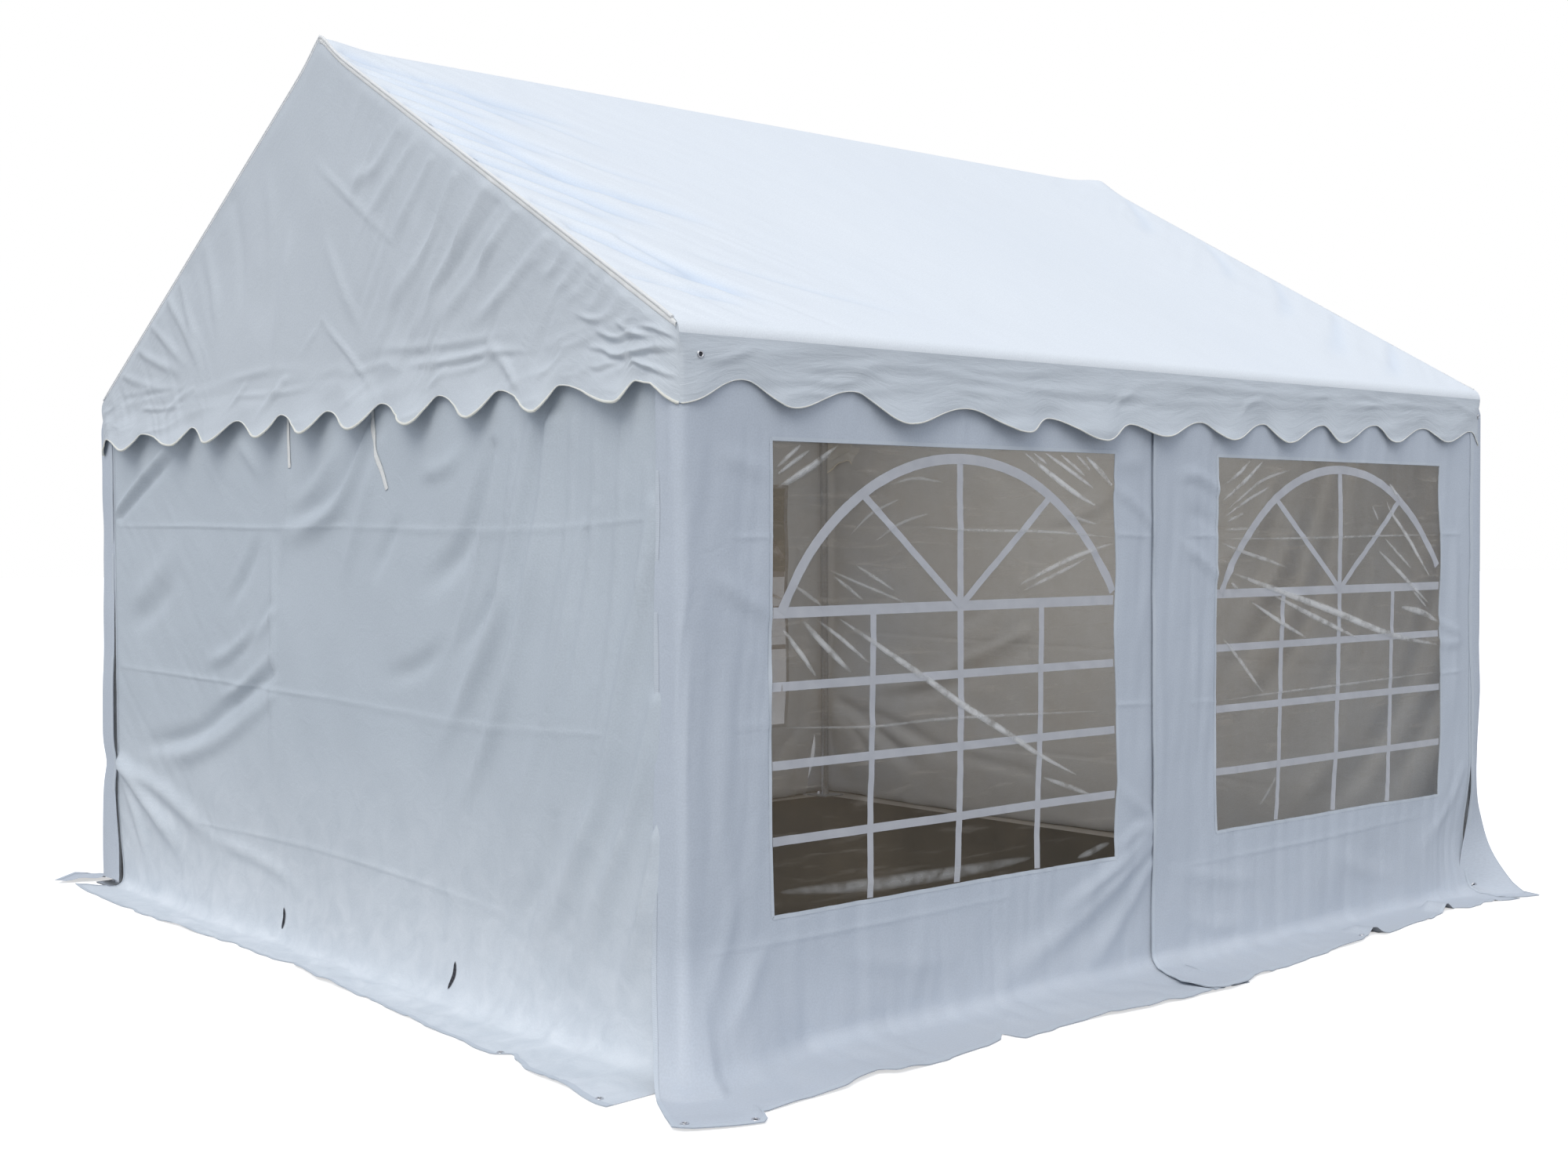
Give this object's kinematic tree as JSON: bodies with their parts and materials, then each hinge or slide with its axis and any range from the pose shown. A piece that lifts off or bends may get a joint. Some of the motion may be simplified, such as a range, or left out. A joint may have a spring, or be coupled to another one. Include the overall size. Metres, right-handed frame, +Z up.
{
  "type": "marquee tent",
  "caption": "Gable-roofed party marquee: white coated cloth over a steel tube frame, scalloped valance, arched-bar clear windows in the long walls, plain end walls and ground skirts.",
  "frame": {"origin": "on the ground under the middle of the tent", "axes": "+X along the eaves towards the right end wall, +Y from the front to the back, +Z up"},
  "size_m": [4.44, 4.48, 3.0658],
  "materials": {
    "tube": "galvanised round steel tube, dull silver with a faint spangle",
    "fitting": "galvanised welded sockets, slightly darker than the tubes",
    "roof_cloth": "coated woven cloth, cool white, satin, finely wrinkled along its seams",
    "wall_cloth": "coated woven cloth, cool white, soft sheen, with packing creases and hanging folds",
    "clear_film": "clear flexible film with fine tension wrinkles and fold lines, white bars printed on it"
  },
  "bodies": {
    "root": {"post_front_left": "tube", "eave_fitting_front_left": "fitting", "rafter_front_left": "tube", "post_front_middle": "tube", "eave_fitting_front_middle": "fitting", "rafter_front_middle": "tube", "post_front_right": "tube", "eave_fitting_front_right": "fitting", "rafter_front_right": "tube", "post_back_left": "tube", "eave_fitting_back_left": "fitting", "rafter_back_left": "tube", "post_back_middle": "tube", "eave_fitting_back_middle": "fitting", "rafter_back_middle": "tube", "post_back_right": "tube", "eave_fitting_back_right": "fitting", "rafter_back_right": "tube", "ridge_fitting_left": "fitting", "ridge_fitting_middle": "fitting", "ridge_fitting_right": "fitting", "ridge_pole_left": "tube", "gable_bar_left": "tube", "gable_left": "roof_cloth", "wall_end_left": "wall_cloth", "eave_rail_front_left": "tube", "wall_front_left": "wall_cloth", "window_front_left": "clear_film", "eave_rail_back_left": "tube", "wall_back_left": "wall_cloth", "window_back_left": "clear_film", "ridge_pole_right": "tube", "gable_bar_right": "tube", "gable_right": "roof_cloth", "wall_end_right": "wall_cloth", "eave_rail_front_right": "tube", "wall_front_right": "wall_cloth", "window_front_right": "clear_film", "eave_rail_back_right": "tube", "wall_back_right": "wall_cloth", "window_back_right": "clear_film", "roof_front": "roof_cloth", "valance_front": "roof_cloth", "roof_back": "roof_cloth", "valance_back": "roof_cloth"}
  },
  "joints": []
}
